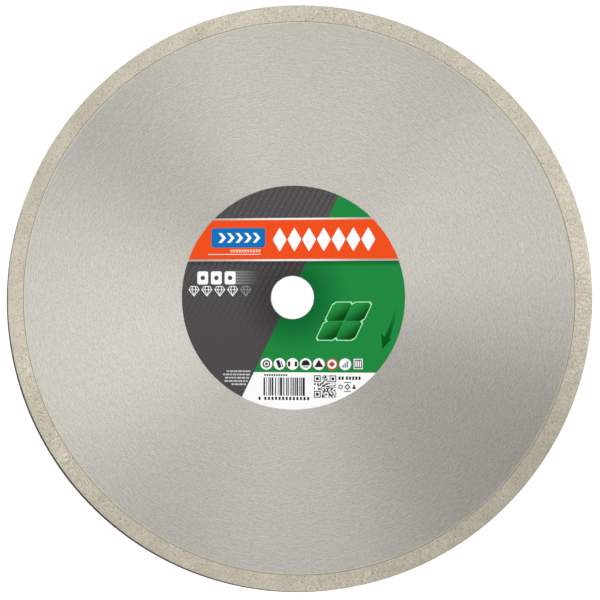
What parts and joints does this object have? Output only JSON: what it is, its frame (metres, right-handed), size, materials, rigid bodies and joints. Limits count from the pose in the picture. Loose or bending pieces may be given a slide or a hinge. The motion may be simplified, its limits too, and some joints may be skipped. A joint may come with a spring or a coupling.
{
  "type": "diamond blade",
  "caption": "Round cutting blade for tile: flat brushed steel core with a plain arbor bore, a continuous sintered diamond rim and a printed centre label.",
  "frame": {"origin": "on the bore's axis, in the plane that the rim's underside rests on when the blade lies flat", "axes": "+Z along the bore's axis, out of the labelled side; +Y towards the top of the label; +X to the label's right"},
  "size_m": [0.35, 0.35, 0.003],
  "materials": {
    "core_steel": "fine brushed, grain running round the axis",
    "silver_solder": "dull solder fillet",
    "sintered_bond": "matte sintered metal with small pits and diamond grit",
    "label_print": "satin printed self-adhesive paper"
  },
  "bodies": {
    "root": {"steel_core": "core_steel", "braze_seam": "silver_solder", "diamond_rim": "sintered_bond", "front_label": "label_print"}
  },
  "joints": []
}
